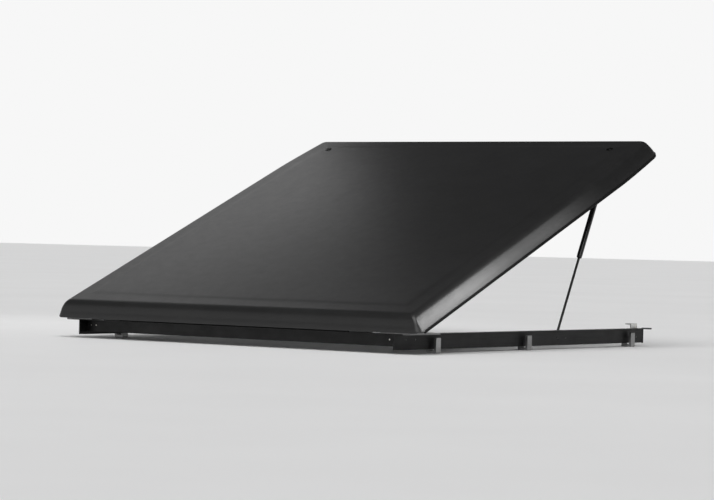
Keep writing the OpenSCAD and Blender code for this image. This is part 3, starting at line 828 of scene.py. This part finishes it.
def lock_housing(side):
    """A threaded barrel under a bezel, hollow for the key plug."""
    node = "lock_housing_" + side
    low, high = box_of(node, LID)
    c = (low + high) / 2
    bore, r, bezel = 6.1 * MM, 10 * MM, (high.x - low.x) / 2
    top = high.z
    seat = top - 3 * MM
    profile = [(low.z, bore), (low.z, r - 1.2 * MM), (low.z + 1 * MM, r - 0.2 * MM)]
    z = low.z + 2 * MM
    while z < low.z + 26 * MM:
        profile += [(z, r - 0.1 * MM), (z + 0.6 * MM, r - 0.9 * MM), (z + 1.2 * MM, r - 0.1 * MM)]
        z += 1.8 * MM
    profile += [(z, r), (seat, r), (seat, bezel - 0.4 * MM), (seat + 0.5 * MM, bezel)]
    profile += [(seat + 1.1 * MM, bezel - 0.1 * MM), (top - 0.3 * MM, bezel - 2.2 * MM)]
    profile += [(top, bezel - 3.0 * MM), (top, bore + 1.8 * MM)]
    profile += [(top - 0.7 * MM, bore + 0.9 * MM), (top - 0.8 * MM, bore)]
    n = 64
    loops = revolve(profile, n)[0]
    rings = [loops[i * n:(i + 1) * n] for i in range(len(profile))]
    mesh = skin_loops(rings, ring=True)
    place = LID @ Matrix.Translation((c.x, c.y, 0))
    dress(piece(node + "_barrel", *mesh, place=place, sharp=28), "lid", M["lock"], [node])


def bump_stops():
    """Four stepped rubber posts, whose feet sit against the liner."""
    low, high = box_of("bump_stops", LID)
    foot_r = 11
    length = (high.z - low.z) / MM
    profile = [(0, 0), (0, 4.6), (0.8, 6.0), (3, 8.2), (4, 8.6), (9, 8.6), (10, 7.6), (11, 7.6), (12, 8.8)]
    profile += [(16, 9.4), (17, 8.6), (18, 8.6), (19, 10.2), (24, 10.6), (length - 3, 10.8)]
    profile += [(length - 2.6, foot_r), (length, foot_r), (length, 0)]
    post = revolve([(z * MM, r * MM) for z, r in profile], 40)
    x = high.x - foot_r * MM
    parts = []
    for y in (high.y - foot_r * MM, low.y + foot_r * MM):
        for s in SIDES.values():
            parts.append(moved(post, Matrix.Translation((s * x, y, low.z))))
    dress(piece("bump_stops_rubber", *join(parts), place=LID, sharp=35), "lid", M["seal"],
          ["bump_stops"])


for side in SIDES:
    lock_housing(side)
bump_stops()

# ---------------------------------------------------------------- nodes that keep their CAD shape

CARRIED = {
    "tube": ["stiffener_", "cross_member_"],
    "black_steel": ["hinge_leaf_", "hinge_base_", "strut_upper_bracket_", "strut_lower_bracket_"],
    "zinc": ["lid_bolts", "frame_bolts", "clamp_screws", "hinge_pins", "hinge_clips", "lower_ball_studs",
             "upper_ball_stud_", "latch_cam_", "striker_", "lock_nuts"],
    "plug": ["key_plug_"],
    "bracket": ["corner_bracket_"],
    "cap": ["rail_end_caps", "strut_lower_socket_", "strut_upper_socket_"],
    "seal": ["clamp_pads"],
    "rod": ["strut_rod_"],
}
for key, starts in CARRIED.items():
    for node in NODES:
        if any(node.startswith(s) for s in starts):
            finish_node(node, M[key])

# ---------------------------------------------------------------- floor, light and camera

def floor():
    size = 60
    mesh = bpy.data.meshes.new("floor")
    z = cad_box[0].z
    corners = [(-size, -size, z), (size, -size, z), (size, size, z), (-size, size, z)]
    mesh.from_pydata(corners, [], [(0, 1, 2, 3)])
    mesh.materials.append(M["floor"])
    obj = bpy.data.objects.new("floor", mesh)
    bpy.context.scene.collection.objects.link(obj)
    return obj


def studio_sky():
    """White near the horizon and dim overhead, like a studio whose walls are lit and whose ceiling isn't."""
    world = bpy.data.worlds.new("studio")
    bpy.context.scene.world = world
    world.use_nodes = True
    tree = world.node_tree
    back = tree.nodes["Background"]
    coord = tree.nodes.new("ShaderNodeTexCoord")
    split = tree.nodes.new("ShaderNodeSeparateXYZ")
    ramp = tree.nodes.new("ShaderNodeValToRGB")
    tree.links.new(coord.outputs["Generated"], split.inputs["Vector"])
    tree.links.new(split.outputs["Z"], ramp.inputs["Fac"])
    ramp.color_ramp.elements[0].position = 0.10
    ramp.color_ramp.elements[0].color = (0.93, 0.93, 0.93, 1)
    ramp.color_ramp.elements[1].position = 0.38
    ramp.color_ramp.elements[1].color = (0.06, 0.06, 0.062, 1)
    tree.links.new(ramp.outputs["Color"], back.inputs["Color"])
    back.inputs["Strength"].default_value = 1.0


def flag_off(light, shaded):
    """Keeps a light off the floor, as a flag in a studio does. Every piece of the object stays lit."""
    flag = bpy.data.collections.new("flag_" + light.name)
    flag.objects.link(shaded)
    flag.collection_objects[0].light_linking.link_state = "EXCLUDE"
    light.light_linking.receiver_collection = flag


def softbox(name, at, aim, size, power, spread=180):
    light = bpy.data.lights.new(name, "AREA")
    light.shape = "RECTANGLE"
    light.spread = math.radians(spread)
    light.size, light.size_y = size
    light.energy = power
    obj = bpy.data.objects.new(name, light)
    obj.location = at
    obj.rotation_euler = (Vector(aim) - Vector(at)).to_track_quat("-Z", "Y").to_euler()
    obj.visible_camera = False
    bpy.context.scene.collection.objects.link(obj)
    return obj


def soft_sun(towards, width, strength):
    """A wide, distant source, given by the direction it shines from and its width in degrees."""
    light = bpy.data.lights.new("sky_light", "SUN")
    light.energy = strength
    light.angle = math.radians(width)
    obj = bpy.data.objects.new("sky_light", light)
    obj.rotation_euler = (-Vector(towards)).to_track_quat("-Z", "Y").to_euler()
    bpy.context.scene.collection.objects.link(obj)


def camera():
    """Low at the front left of the bed, almost level, from far away with a long lens."""
    eye = Vector((-6.717, 8.327, 0.347))
    aim = Vector((-0.02, -0.76, 0.30))
    up = Vector((0.0717, -0.059, 0.9957))
    back = (eye - aim).normalized()
    right = up.cross(back).normalized()
    turn = Matrix((right, back.cross(right), back)).transposed().to_4x4()
    data = bpy.data.cameras.new("camera")
    data.lens = 142
    data.clip_end = 200
    obj = bpy.data.objects.new("camera", data)
    obj.matrix_world = Matrix.Translation(eye) @ turn
    bpy.context.scene.collection.objects.link(obj)
    bpy.context.scene.camera = obj


STRIP_SIZE = (0.5, 0.35)
STRIP_SPREAD = 80

ground = floor()
studio_sky()
soft_sun((-0.3, 0.5, 0.8), 60, 2.6)
# Two strips make the bright band on the left skirt. Each is given by its place, its aim and its power
for name, at, aim, power in (("left_front", (-1.475, -0.63, 0.61), (-0.865, -0.06, 0.06), 1.5),
                             ("left_middle", (-1.45, -1.18, 0.84), (-0.865, -0.58, 0.29), 0.47)):
    flag_off(softbox(name, at, aim, STRIP_SIZE, power, STRIP_SPREAD), ground)
softbox("right_side", (2.3, -1.7, 1.7), (0.7, -0.8, 0.4), (2.2, 0.9), 6)
camera()
bpy.context.scene.view_settings.view_transform = "Standard"
